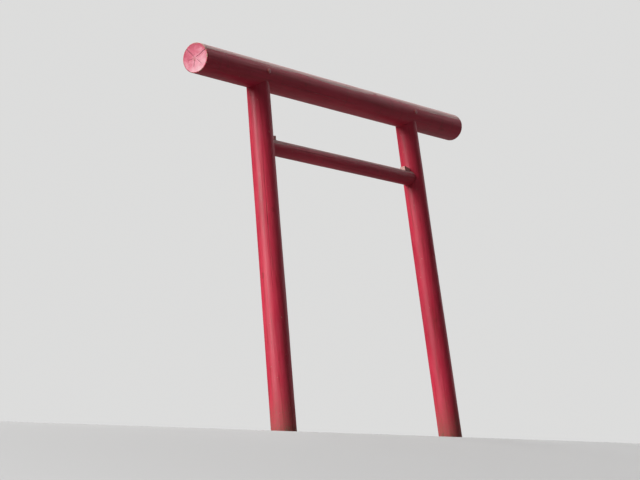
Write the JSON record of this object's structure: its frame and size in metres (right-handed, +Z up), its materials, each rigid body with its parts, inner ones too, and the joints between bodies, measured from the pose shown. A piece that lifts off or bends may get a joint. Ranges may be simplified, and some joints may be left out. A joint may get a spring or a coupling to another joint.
{
  "type": "torii gate",
  "caption": "Round-log torii gate: two inward-leaning posts, a straight round top beam over both, and a thinner tie beam between them, painted crimson red.",
  "frame": {"origin": "centre of the left post's flat foot face, at ground level", "axes": "+X along the top beam from the left post to the right post, +Y through the gate, +Z up"},
  "size_m": [2.96, 0.2, 2.354],
  "materials": {
    "post_wood": "crimson-red satin paint on a turned log, splashed with earth near the ground",
    "beam_wood": "crimson-red satin paint on a turned log, faded along the top and bleached pink on the cut ends",
    "tie_wood": "crimson-red satin paint on a turned log, faded along the top",
    "peg_wood": "faded paint on end grain",
    "wedge_wood": "weathered split wood with little paint left"
  },
  "bodies": {
    "root": {"left_post": "post_wood", "right_post": "post_wood", "top_beam": "beam_wood", "tie_beam": "tie_wood", "left_peg": "peg_wood", "right_peg": "peg_wood", "left_wedge": "wedge_wood", "right_wedge": "wedge_wood"}
  },
  "joints": []
}
